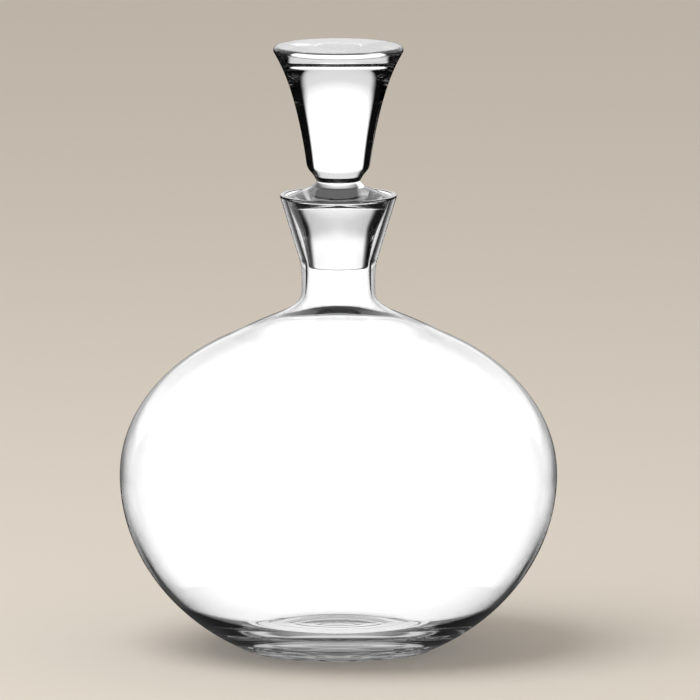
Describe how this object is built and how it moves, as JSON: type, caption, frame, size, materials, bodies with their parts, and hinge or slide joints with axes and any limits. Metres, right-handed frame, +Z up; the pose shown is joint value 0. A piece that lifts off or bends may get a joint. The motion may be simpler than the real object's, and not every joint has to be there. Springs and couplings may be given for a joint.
{
  "type": "wine decanter",
  "caption": "Clear glass wine decanter: squashed-sphere bulb on a heavy flat base, waisted neck with a funnel collar, and a solid flared stopper that lifts out.",
  "frame": {"origin": "centre of the foot ring's underside, on the surface that the decanter stands on", "axes": "+Z up along the axis of revolution, which bulb, neck, collar and stopper share; X and Y are equivalent"},
  "size_m": [0.17, 0.17, 0.2361],
  "materials": {
    "clear_glass": "polished, clear and colourless, blown",
    "solid_glass": "polished, clear and colourless, solid"
  },
  "bodies": {
    "vessel": {"decanter_vessel": "clear_glass"},
    "stopper": {"stopper": "solid_glass"}
  },
  "joints": [
    {"name": "stopper_lift", "type": "slide", "parent": "vessel", "child": "stopper", "axis": [0, 0, 1], "range_m": [0, 0.07]}
  ]
}
